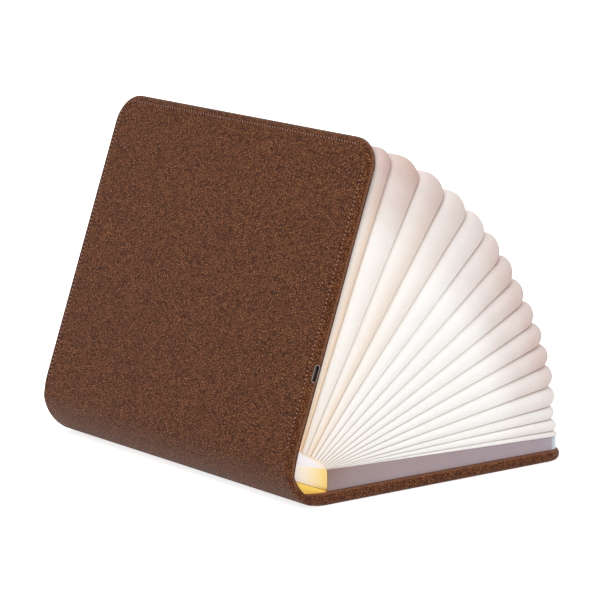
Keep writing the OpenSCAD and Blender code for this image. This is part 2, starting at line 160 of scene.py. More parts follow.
class Nodes:
    """A small helper that adds shader nodes and links them by socket name."""

    def __init__(self, tree):
        self.tree = tree
        tree.nodes.clear()

    def add(self, kind, links=None, **settings):
        node = self.tree.nodes.new(kind)
        for key, value in settings.items():
            setattr(node, key, value)
        for socket, value in (links or {}).items():
            target = node.inputs[socket]
            if isinstance(value, bpy.types.NodeSocket):
                self.tree.links.new(value, target)
            else:
                target.default_value = value
        return node

    def math(self, operation, a, b=0.0):
        return self.add("ShaderNodeMath", {0: a, 1: b}, operation=operation).outputs[0]

    def times(self, a, b):
        return self.math("MULTIPLY", a, b)

    def dimmed(self, level, veil, share=1.0):
        """The level less the share of it that the veil takes away."""
        return self.times(level, self.math("SUBTRACT", 1.0, self.times(veil, share)))

    def mix(self, share, a, b):
        return self.add("ShaderNodeMix", {0: share, 6: a, 7: b}, data_type="RGBA").outputs[2]

    def span(self, value, low, high, start=0.0, end=1.0):
        """The value's range from start to end, drawn out from low to high."""
        return self.add("ShaderNodeMapRange", {0: value, 1: start, 2: end, 3: low, 4: high}).outputs[0]

    def ramp(self, value, stops, interpolation="LINEAR"):
        """A colour ramp. A stop's colour is linear RGB or RGBA, or one number for a grey."""
        node = self.add("ShaderNodeValToRGB", {0: value})
        node.color_ramp.interpolation = interpolation
        elements = node.color_ramp.elements
        while len(elements) < len(stops):
            elements.new(0.5)
        for element, (place, colour) in zip(elements, stops):
            element.position = place
            element.color = (*(colour[:3] if isinstance(colour, tuple) else (colour,) * 3), 1)
        return node.outputs[0]

    def noise(self, scale, detail, rough, at, distortion=0.0):
        return self.add("ShaderNodeTexNoise", {
            "Vector": at, "Scale": scale, "Detail": detail, "Roughness": rough,
            "Distortion": distortion}).outputs[0]

    def bump(self, height, distance, strength):
        links = {"Height": height, "Distance": distance, "Strength": strength}
        return self.add("ShaderNodeBump", links).outputs[0]

    def coordinates(self):
        return self.add("ShaderNodeTexCoord").outputs["Object"]

    def attribute(self, name):
        return self.add("ShaderNodeAttribute", attribute_name=name).outputs["Fac"]

    def seen(self):
        """1 for what the camera sees straight, mirrored or through glass, and 0 for other light."""
        paths = self.add("ShaderNodeLightPath")
        seen = self.math("MAXIMUM", paths.outputs["Is Camera Ray"], paths.outputs["Is Glossy Ray"])
        return self.math("MAXIMUM", seen, paths.outputs["Is Transmission Ray"])

    def finish(self, shader, kind="Material"):
        self.add("ShaderNodeOutput" + kind, {"Surface": shader.outputs[0]})

    def principled(self, sockets):
        self.finish(self.add("ShaderNodeBsdfPrincipled", sockets))


def new_material(name):
    material = bpy.data.materials.new(name)
    material.use_nodes = True
    return material, Nodes(material.node_tree)


def linear(r, g, b):
    """An sRGB colour from 0 to 255 as the linear values that a shader takes."""
    shares = (r / 255, g / 255, b / 255)
    return tuple(((c + 0.055) / 1.055) ** 2.4 if c > 0.04045 else c / 12.92 for c in shares) + (1.0,)


def darker(colour, share):
    return tuple(share * c for c in colour[:3]) + (1.0,)


FLOOR_SIZE = 12
FLOOR_GAP = 0.2 * MM  # keeps the floor clear of the back cover's outer face
WHITE = (1, 1, 1, 1)


def make_stage():
    material, n = new_material("floor")
    plain = n.add("ShaderNodeBsdfDiffuse", {"Color": (0.86, 0.86, 0.86, 1)})
    away = n.add("ShaderNodeVectorMath", {0: n.coordinates()}, operation="LENGTH").outputs["Value"]
    level = n.span(away, 0.8, 1.0, 0.15, 0.8)
    glow = n.add("ShaderNodeEmission", {"Color": WHITE, "Strength": level})
    both = n.add("ShaderNodeAddShader", {0: plain.outputs[0], 1: glow.outputs[0]})
    n.finish(n.add("ShaderNodeMixShader", {0: n.seen(), 1: plain.outputs[0], 2: both.outputs[0]}))
    bpy.ops.mesh.primitive_plane_add(size=FLOOR_SIZE, location=(0, 0, -FLOOR_GAP))
    floor = bpy.context.object
    floor.name = "floor"
    floor.data.materials.append(material)
    world = bpy.data.worlds.new("world")
    world.use_nodes = True
    bpy.context.scene.world = world
    w = Nodes(world.node_tree)
    level = w.span(w.seen(), 0.55, 1.0)
    w.finish(w.add("ShaderNodeBackground", {"Color": WHITE, "Strength": level}), "World")


make_stage()
bpy.context.scene.view_settings.view_transform = "Standard"

# ---------------- materials


def leather_material():
    """Pebbled brown leather, dark where the point attribute edge is 1, and lighter by a painted highlight along
    one line of its rim.
    """
    material, n = new_material("leather")
    at = n.coordinates()
    skew = n.add("ShaderNodeMapping", {"Vector": at, "Rotation": (0.3, 0.5, 0.7), "Scale": (1.0, 0.72, 1.0)})
    skew = skew.outputs[0]
    pebbles = n.add("ShaderNodeTexVoronoi", {"Vector": skew, "Scale": 980.0, "Randomness": 1.0},
                    feature="DISTANCE_TO_EDGE").outputs["Distance"]
    creases = n.ramp(pebbles, [(0.0, 0), (0.38, 1)], "EASE")
    pores = n.noise(2600.0, 3.0, 0.6, at)
    folds = n.noise(620.0, 4.0, 0.7, skew, 0.8)
    contrast = n.span(folds, 0.0, 1.0, 0.36, 0.68)
    cloud = n.noise(14.0, 3.0, 0.5, at)
    tone = n.mix(cloud, linear(122, 65, 30), linear(134, 75, 38))
    tone = n.mix(n.times(contrast, 0.9), tone, linear(188, 126, 82))
    tone = n.mix(n.times(pores, 0.3), tone, linear(66, 30, 16))
    colour = n.mix(creases, linear(50, 20, 9), tone)
    colour = n.mix(n.times(n.attribute("edge"), 0.75), colour, linear(34, 16, 10))
    # painted highlight along one line of the leather's rim
    colour = n.mix(n.times(n.attribute("crest"), 0.5), colour, linear(158, 106, 78))
    height = n.math("ADD", n.times(creases, 0.6), n.times(folds, 0.9))
    height = n.math("ADD", height, n.times(pores, 0.2))
    n.principled({
        "Base Color": colour, "Roughness": n.span(folds, 0.5, 0.66), "Normal": n.bump(height, 0.00028, 0.9),
        "Specular IOR Level": 0.16, "Specular Tint": (1.0, 0.8, 0.65, 1.0)})
    return material


def thread_material():
    """Light thread, with painted shade of the stitch holes at its ends: the point attribute reach is 0 mid-stitch
    and 1 at its ends.
    """
    material, n = new_material("thread")
    at = n.coordinates()
    twist = n.noise(5000.0, 2.0, 0.5, at)
    colour = n.mix(twist, linear(166, 112, 96), linear(196, 148, 130))
    # painted shade of the stitch holes, on the thread's ends where they go into the leather
    hole_shade = n.ramp(n.attribute("reach"), [(0.2, 0), (0.5, 1)])
    colour = n.mix(hole_shade, colour, linear(18, 7, 5))
    n.principled({
        "Base Color": colour, "Roughness": 0.7, "Specular IOR Level": 0.2,
        "Normal": n.bump(twist, 0.0001, 0.5)})
    return material


def paper_material():
    """Fibrous translucent paper, lit from inside. The point attributes are run, 0 at the hub and 1 at the
    fore-edge; seam, 1 at a seam; across, 0 at a pleat's lower seam and 1 at its upper one; fan, its place
    from tray to front cover; and shade, the part of the light inside that its lower side misses."""
    material, n = new_material("paper")
    at = n.coordinates()
    run, fan = n.attribute("run"), n.attribute("fan")
    line = n.math("POWER", n.attribute("seam"), 2.0)
    fibre = n.noise(900.0, 5.0, 0.65, at, 1.2)
    patch = n.noise(60.0, 4.0, 0.6, at)
    ragged = n.math("ADD", run, n.times(n.math("SUBTRACT", patch, 0.5), 0.14))
    # painted shade on the pleats' rounded tips at the fore-edge, with a ragged start
    tip_shade = n.ramp(ragged, [(0.72, 0), (0.90, 0.6), (1.0, 1)], "EASE")
    # how much painted tip shade each pleat gets, by its place in the fan
    tip_shade_share = n.ramp(fan, [
        (0.0, 0.15), (0.14, 0.25), (0.26, 0.8), (0.6, 0.8), (0.72, 0.45),
        (0.84, 0.6), (0.90, 1.0)])
    tip_shade = n.times(tip_shade, tip_shade_share)
    missed = n.math("POWER", n.math("SUBTRACT", 1.0, n.attribute("across")), 0.8)
    missed = n.times(missed, n.attribute("shade"))
    body = n.mix(n.times(fibre, 0.25), linear(240, 238, 236), linear(226, 218, 210))
    # painted tip shade, stronger on each pleat's lower side
    body = n.mix(n.times(tip_shade, n.span(n.attribute("across"), 1.0, 0.55)), body, linear(200, 164, 152))
    body = n.mix(missed, body, n.ramp(run, [
        (0.0, linear(246, 190, 120)), (0.25, linear(240, 206, 164)), (0.8, linear(226, 198, 176)),
        (1.0, linear(198, 172, 166))]))
    # the seams' darker line: the glued joint, deepened by painted shade of the valley between two pleats
    seam_shade_tone = n.ramp(run, [
        (0.0, linear(150, 118, 84)), (0.2, linear(140, 130, 118)), (0.6, linear(200, 194, 184)),
        (1.0, linear(160, 130, 104))])
    body = n.mix(n.times(line, 0.55), body, seam_shade_tone)
    light = n.ramp(run, [
        (0.0, (1.0, 0.55, 0.18)), (0.05, (1.0, 0.74, 0.42)), (0.14, (1.0, 0.88, 0.70)),
        (0.30, (1.0, 0.97, 0.92)), (1.0, (1.0, 0.96, 0.90))])
    level = n.ramp(run, [
        (0.0, 0.11), (0.10, 0.12), (0.35, 0.12), (0.70, 0.11), (1.0, 0.03)])
    for veil, share in ((tip_shade, 0.8), (missed, 0.7), (line, 0.5)):
        level = n.dimmed(level, veil, share)
    level = n.times(level, n.span(fibre, 0.9, 1.1))
    bump = n.bump(n.math("ADD", fibre, n.times(patch, 3.0)), 0.0002, 0.35)
    n.principled({
        "Base Color": body, "Roughness": 0.75, "Normal": bump, "Emission Color": light,
        "Emission Strength": level, "Specular IOR Level": 0.2})
    return material


def plastic_material(name, colour, rough, second=None):
    material, n = new_material(name)
    at = n.coordinates()
    grain = n.noise(3000.0, 2.0, 0.5, at)
    cloud = n.noise(25.0, 3.0, 0.5, at)
    n.principled({
        "Base Color": n.mix(cloud, colour, second or darker(colour, 0.93)),
        "Roughness": n.span(grain, rough - 0.05, rough + 0.08), "Normal": n.bump(grain, 0.00005, 0.4)})
    return material


def metal_material(name, colour, rough):
    material, n = new_material(name)
    at = n.coordinates()
    brushed = n.noise(1500.0, 3.0, 0.6, at)
    n.principled({
        "Base Color": n.mix(brushed, colour, darker(colour, 0.85)), "Metallic": 1.0,
        "Roughness": n.span(brushed, rough, rough + 0.15), "Normal": n.bump(brushed, 0.00003, 0.3)})
    return material


LEATHER = leather_material()
THREAD = thread_material()
PAPER = paper_material()
FINISHES = {
    "lining": plastic_material("lining_paper", linear(232, 224, 214), 0.8),
    "board": plastic_material("card", linear(190, 162, 122), 0.8, linear(176, 148, 110)),
    "steel": metal_material("steel", linear(200, 200, 202), 0.25),
    "tray_plastic": plastic_material("tray_plastic", linear(172, 160, 168), 0.55, linear(160, 146, 152)),
    "cell": metal_material("pouch_foil", linear(172, 176, 184), 0.35),
    "foam": plastic_material("foam", linear(48, 48, 50), 0.9),
    "channel": plastic_material("channel_plastic", linear(232, 232, 230), 0.5),
    "circuit": plastic_material("solder_mask", linear(22, 92, 54), 0.35),
    "emitter": plastic_material("phosphor", linear(250, 226, 130), 0.3),
    "lens": plastic_material("frosted_lens", linear(250, 244, 228), 0.35),
    "flat_cable": plastic_material("polyimide", linear(206, 140, 40), 0.3),
    "socket_metal": metal_material("socket_metal", linear(150, 136, 126), 0.42),
    "black_plastic": plastic_material("black_plastic", linear(22, 22, 23), 0.4),
    "leather": LEATHER,
    "paper": PAPER,
}
SLOT_OF = {row["node"]: row["material_slot"] for row in frame["record"]["subparts"]}
for node_name, node_object in frame["nodes"].items():
    node_object.data.materials.clear()
    node_object.data.materials.append(FINISHES[SLOT_OF[node_name]])


# ---------------- mesh helpers
SHARP = math.radians(42)  # an edge that turns by this much or more is drawn sharp
MERGE = 1e-6


def grid_faces(rows, columns, start=0):
    """The quads between the points of a grid, which follow each other row by row from start."""
    corners = [start + i * columns + j for i in range(rows - 1) for j in range(columns - 1)]
    return [(a, a + columns, a + columns + 1, a + 1) for a in corners]


def tube_faces(rings, n, start=0):
    """The quads between rings of n points, and the face that closes each end."""
    last = start + (rings - 1) * n
    faces = [list(range(start, start + n)), list(range(last, last + n))]
    for first in range(start, last, n):
        for j in range(n):
            a, b = first + j, first + (j + 1) % n
            faces.append((a, b, b + n, a + n))
    return faces


def mesh_object(name, points, faces, material):
    mesh = bpy.data.meshes.new(name)
    mesh.from_pydata([tuple(p) for p in points], [], faces)
    mesh.validate()
    made = bpy.data.objects.new(name, mesh)
    bpy.context.scene.collection.objects.link(made)
    mesh.materials.append(material)
    work = bmesh.new()
    work.from_mesh(mesh)
    bmesh.ops.remove_doubles(work, verts=work.verts, dist=MERGE)
    bmesh.ops.recalc_face_normals(work, faces=work.faces)
    for edge in work.edges:
        edge.smooth = len(edge.link_faces) != 2 or edge.calc_face_angle() < SHARP
    work.to_mesh(mesh)
    work.free()
    for polygon in mesh.polygons:
        polygon.use_smooth = True
    return made


def set_attribute(made, name, values):
    mesh = made.data
    attribute = mesh.attributes.get(name) or mesh.attributes.new(name, "FLOAT", "POINT")
    attribute.data.foreach_set("value", np.asarray(values, np.float32))


def nearest_values(made, known_points, known_values):
    """For each vertex of made, the row of known_values whose point is nearest."""
    tree = kdtree.KDTree(len(known_points))
    for i, p in enumerate(known_points):
        tree.insert(p, i)
    tree.balance()
    rows = [tree.find(v.co)[1] for v in made.data.vertices]
    return np.asarray(known_values)[rows]


def unit(v):
    return v / np.linalg.norm(v)


def cross2(a, b):
    return a[0] * b[1] - a[1] * b[0]


def smooth_share(t):
    t = np.clip(t, 0, 1)
    return t * t * (3 - 2 * t)


def blend_with(made, body_a, body_b, weights):
    """Bakes made's transform into its mesh; body_a, body_b and weights are not used."""
    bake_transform(made)


def part_of_faces(made, name, keep):
    """A copy of the object with only the faces whose place in the list keep is true."""
    part = made.copy()
    part.data = made.data.copy()
    part.name = name
    bpy.context.scene.collection.objects.link(part)
    work = bmesh.new()
    work.from_mesh(part.data)
    work.faces.ensure_lookup_table()
    bmesh.ops.delete(work, geom=[f for f, kept in zip(list(work.faces), keep) if not kept], context="FACES")
    work.to_mesh(part.data)
    work.free()
    return part


def follow_fold(made, turns, node):
    """Stores each vertex's turn as the attribute turn: 0 on the back cover, 1 on the spine, 2 on the front one. A
    piece that passes 1 is cut there into two that meet on the spine; each part goes to blend_with with its pair of
    bodies, and the CAD node is hidden."""
    turns = np.array(turns, float)
    faces = [list(polygon.vertices) for polygon in made.data.polygons]
    after = [turns[corners].mean() > 1 for corners in faces]
    met = set().union(*[f for f, late in zip(faces, after) if not late])
    met &= set().union(*[f for f, late in zip(faces, after) if late])
    turns[list(met)] = 1.0
    set_attribute(made, "turn", turns)
    parts = [(made, all(after))]
    if met:
        low = part_of_faces(made, made.name + "_low", [not late for late in after])
        high = part_of_faces(made, made.name + "_high", after)
        bpy.data.objects.remove(made)
        parts = [(low, False), (high, True)]
    for part, late in parts:
        values = np.zeros(len(part.data.vertices), np.float32)
        part.data.attributes["turn"].data.foreach_get("value", values)
        pair = ("spine", "front_cover") if late else ("back_cover", "spine")
        blend_with(part, *pair, np.clip(values - late, 0, 1))
        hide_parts(node)


# ---------------- leather
# One half of the wrap, in panel coordinates: u from the hinge line to the fore-edge, w from the outer
# face inwards. The spine leaves the hinge at SPINE_ANGLE. The two halves meet in mid-spine.
SPINE_ANGLE = math.pi / 2 + HALF_OPEN
SPINE_BULGE = 4.2 * MM
SPINE_R = (HINGE_SPAN ** 2 / 4 + SPINE_BULGE ** 2) / (2 * SPINE_BULGE)
SPINE_SKIN = 4.1 * MM
BEND_MIDDLE = np.array([-0.5 * MM, 0.6 * MM])  # of the outer face, where its run is 0
DENTS = ((0.5 * MM, 0.12 * MM), (-7.5 * MM, 0.042 * MM))  # run and depth of the creases along the hinge
DENT_WIDTH = 1.7 * MM
BEND_REACH = 7 * MM
EDGE_R = COVER_T / 2
FLAT_START = 23 * MM  # the section is resampled from mid-spine up to here
SECTION_STEPS = 46
FLAT_STEPS = 8
CORNER_STEPS = 12
BACK_CORNER_R = 12.5 * MM
FRONT_CORNER_R = 16 * MM


def spine_side(v, w):
    """A point of the spine, v along its chord from the hinge line and w inside its outer arc."""
    along, inward = heading(SPINE_ANGLE), -above(SPINE_ANGLE)
    across = HINGE_SPAN / 2 - v
    tilt = math.asin(across / SPINE_R)
    rise = SPINE_BULGE - SPINE_R * (1 - math.cos(tilt))
    chord = np.array([0, HINGE_DEPTH]) + v * along - HINGE_DEPTH * inward
    return chord - rise * inward + w * (math.cos(tilt) * inward + math.sin(tilt) * along)


def bezier(p0, p1, p2, p3, count):
    t = np.linspace(0, 1, count)[:, None]
    return (1 - t) ** 3 * p0 + 3 * (1 - t) ** 2 * t * p1 + 3 * (1 - t) * t ** 2 * p2 + t ** 3 * p3


def run_along(curve):
    return np.concatenate([[0], np.cumsum(np.linalg.norm(np.diff(curve, axis=0), axis=1))])


def resample(curve, count):
    run = run_along(curve)
    at = np.linspace(0, run[-1], count)
    return np.stack([np.interp(at, run, curve[:, k]) for k in (0, 1)], 1), at


def inner_rise(u):
    """How far the leather's inner face stands over COVER_T: more by the spine, less at the fore-edge."""
    return (0.6 * MM - 0.95 * MM * np.clip(u / PANEL_W, 0, 1)) * smooth_share((u + 6 * MM) / (6 * MM))


def wrap_sections():
    """Outer and inner points of the wrap's section from mid-spine to FLAT_START, with the signed run along
    the outer face from the hinge line, negative in the spine."""
    mid = HINGE_SPAN / 2

    def side(w_cover, w_spine, u_start, v_end, reach):
        """The spine's arc to v_end, a bend with handles of this reach, and the cover from u_start."""
        tail = [spine_side(v, w_spine) for v in np.linspace(mid, v_end, 12)]
        ahead = unit(tail[-1] - tail[-2])
        p3 = np.array([u_start, w_cover])
        bend = bezier(tail[-1], tail[-1] + ahead * reach, p3 - np.array([reach, 0]), p3, 24)
        flat = np.array([[u, w_cover] for u in np.linspace(u_start, FLAT_START, 8)])
        return np.concatenate([tail, bend[1:], flat[1:]])

    outer, run = resample(side(0.0, 0.0, 8 * MM, 4 * MM, 3.4 * MM), SECTION_STEPS)
    inner, _ = resample(side(COVER_T, SPINE_SKIN, 20 * MM, 7.5 * MM, 4.5 * MM), SECTION_STEPS)
    run = run - run[np.argmin(np.linalg.norm(outer - BEND_MIDDLE, axis=1))]
    lift = sum(depth * np.exp(-((run - at) / DENT_WIDTH) ** 2) for at, depth in DENTS)
    into = inner - outer
    into = into / np.linalg.norm(into, axis=1)[:, None]
    inner[:, 1] += inner_rise(inner[:, 0])
    return outer + into * lift[:, None], inner, run


OUTER, INNER, RUN = wrap_sections()
STITCH_INSET = 3.5 * MM
RIM_ANGLES = (90, 80, 70, 60, 48, 36, 22, 8, -8, -20, -32, -42, -50, -58, -66, -74, -82, -90)
RIM_POWERS = ((0.5, 0.75), (0.85, 0.95))  # under 1 they square the rim's inner and outer half
GROOVE = {-66: 0.12, -74: 0.30, -82: 0.15}  # depth in mm at angles of the rim, where the leather turns in
PAINTED_HIGHLIGHT_FALL = 12  # how fast the rim's painted highlight fades, per share of the thickness
# how far in from the edge the rim's painted highlight reaches
PAINTED_HIGHLIGHT_REACH = 3.5 * MM
SINK_START, SINK_FADE = 1 * MM, 6 * MM  # where the stitches' channel begins, and how soon it is full
SOCKET_W, SOCKET_H = 9.0 * MM, 3.2 * MM
SOCKET_CLEARANCE = 0.15 * MM
SOCKET_CUT = (-4 * MM, 9 * MM)  # the cutter's ends along Y, from the tail edge


def rim_profile():
    """Rings from the outer face round the half-round edge to the inner face: [inset, depth share, sink]."""
    rings = [(9.0, 0, 0), (6.0, 0, 0), (4.7, 0, 0.03), (4.1, 0, 0.22), (3.5, 0, 0.42), (2.95, 0, 0.16)]
    rings = [(inset * MM, share, sink * MM) for inset, share, sink in rings]
    for angle in RIM_ANGLES:
        a = math.radians(angle)
        square, tall = RIM_POWERS[angle > 0]
        height = math.copysign(abs(math.sin(a)) ** tall, a)
        groove = GROOVE.get(angle, 0.0) * MM
        rings.append((EDGE_R * (1 - abs(math.cos(a)) ** square) + groove, 0.5 - 0.5 * height, 0.0))
    return rings + [(inset * MM, 1.0, 0.0) for inset in (3.4, 6.0, 9.0)]


RIM = rim_profile()


def rim_points(to_plane, corner_r):
    """Grid of the wrap's points: a row per station round the edge, a column per ring of RIM."""
    half = COVER_H / 2
    flat_u = np.linspace(FLAT_START, PANEL_W - corner_r, FLAT_STEPS + 1)[1:]
    run = [("section", k) for k in range(len(OUTER))] + [("flat", u) for u in flat_u]
    run += [("arc", math.pi / 2 * k / CORNER_STEPS) for k in range(1, CORNER_STEPS + 1)]
    stations = [(*place, -1) for place in run] + [(*place, 1) for place in reversed(run)]
    grid = []
    for kind, value, side in stations:
        row = []
        for inset, share, sink in RIM:
            y = side * (half - inset)
            if kind == "section":
                fade = smooth_share((RUN[value] - SINK_START) / SINK_FADE)
                point = OUTER[value] * (1 - share) + INNER[value] * share
                into = (INNER[value] - OUTER[value]) / COVER_T
                point = point + into * (sink * fade if share == 0 else 0)
                u, w = point
            elif kind == "flat":
                u, w = value, share * (COVER_T + inner_rise(value)) + sink
            else:
                r = corner_r - inset
                u = PANEL_W - corner_r + r * math.sin(value)
                y = side * (half - corner_r + r * math.cos(value))
                w = share * (COVER_T + inner_rise(u)) + sink
            x, z = to_plane(u, w)
            row.append((x, y, z))
        grid.append(row)
    return grid


def leather_wrap(name, to_plane, corner_r, painted_highlight_at, dark_from):
    """One half of the wrap. Its rim gets a painted highlight centred at the share passed after corner_r, and is
    dark beyond dark_from, both as shares of the thickness from the outer face."""
    grid = rim_points(to_plane, corner_r)
    columns = len(RIM)
    points = [p for row in grid for p in row]
    faces = grid_faces(len(grid), columns)
    straight = len(OUTER) + FLAT_STEPS
    for j in (0, columns - 1):
        rim = list(range(j, len(points), columns))
        faces += [(rim[i], rim[i + 1], rim[-i - 2], rim[-i - 1]) for i in range(straight - 1)]
        faces.append(rim[straight - 1:1 - straight])
    faces.append([*range(columns), *range(len(points) - 1, len(points) - columns - 1, -1)])
    made = mesh_object(name, points, faces, LEATHER)
    runs = list(RUN) + [PANEL_W] * (len(grid) // 2 - len(RUN))
    runs = runs + runs[::-1]
    edge = [float(share > dark_from and inset < EDGE_R) for inset, share, _ in RIM]
    # painted highlight: lightest at its share of the rim's thickness, fading to either side, near the edge only
    crest = [max(0.0, 1 - PAINTED_HIGHLIGHT_FALL * abs(share - painted_highlight_at)) if inset < PAINTED_HIGHLIGHT_REACH else 0.0
             for inset, share, _ in RIM]
    known = [(runs[i], edge[j], crest[j]) for i in range(len(grid)) for j in range(columns)]
    return made, points, known


def socket_hole(made):
    """Cuts the charging socket's slot into the tail edge."""
    low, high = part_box("socket_shell")
    middle = np.array([(low.x + high.x) / 2, (low.z + high.z) / 2])
    n = 32
    r = SOCKET_H / 2 + SOCKET_CLEARANCE
    points = []
    for y in SOCKET_CUT:
        for k in range(n):
            a = 2 * math.pi * k / n
            shift = math.copysign((SOCKET_W - SOCKET_H) / 2, math.cos(a))
            x, z = middle + (shift + r * math.cos(a)) * heading(OPEN) + r * math.sin(a) * above(OPEN)
            points.append((x, y - COVER_H / 2, z))
    cutter = mesh_object("cutter", points, tube_faces(2, n), LEATHER)
    cut = made.modifiers.new("cut", "BOOLEAN")
    cut.operation, cut.solver, cut.object = "DIFFERENCE", "EXACT", cutter
    bpy.context.view_layer.update()
    graph = bpy.context.evaluated_depsgraph_get()
    mesh = bpy.data.meshes.new_from_object(made.evaluated_get(graph))
    made.modifiers.clear()
    made.data = mesh
    bpy.data.objects.remove(cutter)


def finish_wrap(made, points, known, body_pair, towards_spine):
    """Colours the wrap's rim, and works out its share of the bend round its hinge line between the cover and the
    spine, which blend_with doesn't apply.
    """
    values = nearest_values(made, points, known)
    set_attribute(made, "edge", values[:, 1])
    # the rim's painted highlight
    set_attribute(made, "crest", values[:, 2])
    share = smooth_share((values[:, 0] + BEND_REACH) / (2 * BEND_REACH))
    blend_with(made, *body_pair, 1 - share if towards_spine else share)


back_wrap, *grid_values = leather_wrap("leather_wrap_back", back_point, BACK_CORNER_R, 1.0, 1.1)
finish_wrap(back_wrap, *grid_values, ("back_cover", "spine"), True)
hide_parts("back_leather", "spine_leather")
front_wrap, *grid_values = leather_wrap("leather_wrap_front", front_point, FRONT_CORNER_R, 0.62, 0.8)
socket_hole(front_wrap)
finish_wrap(front_wrap, *grid_values, ("spine", "front_cover"), False)
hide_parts("front_leather")

# ---------------- stitches
STITCH_PITCH = 2.1 * MM
STITCH_LENGTH = 2.0 * MM
STITCH_R = 0.36 * MM
STITCH_WIDE, STITCH_HIGH = 1.25, 0.9  # shares of that radius
STITCH_START = 7 * MM
STITCH_RINGS, STITCH_SIDES = 7, 8
THREAD_SINK = 0.36 * MM  # of the thread's middle under the leather's outer face
THREAD_DIP = 0.1 * MM  # how much deeper its ends lie


def stitch_places():
    """Places and directions of the stitches round three edges of a cover, as (u, y, angle)."""
    half, r = COVER_H / 2, CORNER_R - STITCH_INSET
    straight = PANEL_W - CORNER_R - STITCH_START
    arc = r * math.pi / 2
    fore = COVER_H - 2 * CORNER_R
    total = 2 * straight + 2 * arc + fore
    count = round(total / STITCH_PITCH)
    for k in range(count):
        s = (k + 0.5) * total / count
        flip = s > total / 2
        s = min(s, total - s)
        if s < straight:
            u, y, angle = STITCH_START + s, -half + STITCH_INSET, 0.0
        elif s < straight + arc:
            a = (s - straight) / r
            u = PANEL_W - CORNER_R + r * math.sin(a)
            y, angle = -half + CORNER_R - r * math.cos(a), a
        else:
            u, y, angle = PANEL_W - STITCH_INSET, -half + CORNER_R + (s - straight - arc), math.pi / 2
        yield (u, -y, -angle) if flip else (u, y, angle)


def make_stitches(name, to_plane, body):
    points, faces, reach = [], [], []
    for u, y, angle in stitch_places():
        faces += tube_faces(STITCH_RINGS, STITCH_SIDES, len(points))
        for t in np.linspace(-1, 1, STITCH_RINGS):
            r = STITCH_R * math.sqrt(max(1 - t ** 4, 0.04))
            for j in range(STITCH_SIDES):
                a = 2 * math.pi * j / STITCH_SIDES
                along, aside = t * STITCH_LENGTH / 2, r * STITCH_WIDE * math.cos(a)
                du = along * math.cos(angle) - aside * math.sin(angle)
                dy = along * math.sin(angle) + aside * math.cos(angle)
                w = THREAD_SINK + STITCH_HIGH * r * math.sin(a) + THREAD_DIP * t * t
                x, z = to_plane(u + du, w)
                points.append((x, y + dy, z))
                reach.append((abs(t),))
    made = mesh_object(name, points, faces, THREAD)
    set_attribute(made, "reach", nearest_values(made, points, reach)[:, 0])
    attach(made, body)


make_stitches("stitches_front", front_point, "front_cover")
make_stitches("stitches_back", back_point, "back_cover")

# ---------------- bellows
# Each pleat, or lobe, spans two seams. Seam -1 lies on the tray's lid, seam 0 over the lowest pleat, and the
# last one on the front cover's lining. A seam runs from the hub line to its end at the fore-edge.
LOBES = 15
LOBES_BELOW = 9  # seams up to this one start from a gusset's lower half
CROWN, CROWN_SHARE = 6.4 * MM, 0.5  # a pleat's bulge at the fore-edge: at most, and per width
SIDE_CROWN, SIDE_SHARE = 3.2 * MM, 0.29  # the same at tail and head
BOW = 0.46  # under 1 the bulge is fuller than a parabola
RIPPLE = 0.3 * MM
SHADED = {12: 0.3, 13: 0.6, 14: 0.25, 15: 1.0}  # the attribute shade, where it isn't 0
REACH = 153.2  # mm from a hinge's foot on a seam to the seam's end
LONGER = ((3.2, 9, 2.4), (1.4, 4.5, 1.8), (1.4, 0, 0.6))  # mm more, the seam with the most, the spread
PAPER_T = 0.35 * MM
SEAM_GAP = 0.12 * MM
PAGE_R = 4.5 * MM
PAGE_HALF = COVER_H / 2 - 3.5 * MM
SEAM_END_INSET = 7.5 * MM  # of the last seam's end, from the cover's fore-edge
STACK_LOW = TRAY_TOP - HINGE_DEPTH
STACK_HIGH = HINGE_SPAN - (COVER_T - HINGE_DEPTH) - PLATE_T
TRAY_FALL = 5.1 * MM  # how much lower the lid's edge is at the fore-edge than at the hub
TRAY_REACH = PANEL_W - PAGE_MARGIN
HUB_POWER = 2.55  # over 1 the seams start closer together by the tray
HUB_LINE = np.array([
    (HINGE_A[0] + PAGE_START, TRAY_TOP + 0.45 * MM),
    (HINGE_A[0] + 4.9 * MM, 22.2 * MM),
    front_point(7.75 * MM, COVER_T)])
HUB_RUN = run_along(HUB_LINE)


def lid_edge(u):
    """Height of the lid's edge at this distance from the hinge line."""
    return HUB_LINE[0][1] - 0.1 * MM - TRAY_FALL * (u - PAGE_START) / (TRAY_REACH - PAGE_START)


def seam_angle(k):
    """The seams open wider towards the front cover. Seam 2 and those beside it lie a little lower."""
    return math.radians(-0.17 + 2.996 * k + 0.1394 * k * k - math.exp(-((k - 2) / 1.2) ** 2))


def seam_distance(k):
    """How far the seam's line passes from hinge A."""
    return max(11.5, 14.8 - 0.9 * k) * MM


def seam_reach(k):
    """Length along a seam from the foot of hinge A on it, or of hinge B where that lies farther along."""
    reach = REACH + sum(more * math.exp(-((k - seam) / spread) ** 2) for more, seam, spread in LONGER)
    return reach * MM + max(0.0, float((HINGE_B - HINGE_A) @ heading(seam_angle(k))))


def seam_height(k):
    """Height of a seam over hinge A in the closed lamp."""
    if k == LOBES:
        return HINGE_SPAN - (COVER_T - HINGE_DEPTH)
    return STACK_LOW + (STACK_HIGH - STACK_LOW) * max(k, 0) / LOBES


def seam_start(k):
    if k < 0:
        return np.array([HINGE_A[0] + PAGE_START, lid_edge(PAGE_START)])
    at = HUB_RUN[-1] * (k / LOBES) ** HUB_POWER
    return np.array([np.interp(at, HUB_RUN, HUB_LINE[:, axis]) for axis in (0, 1)])


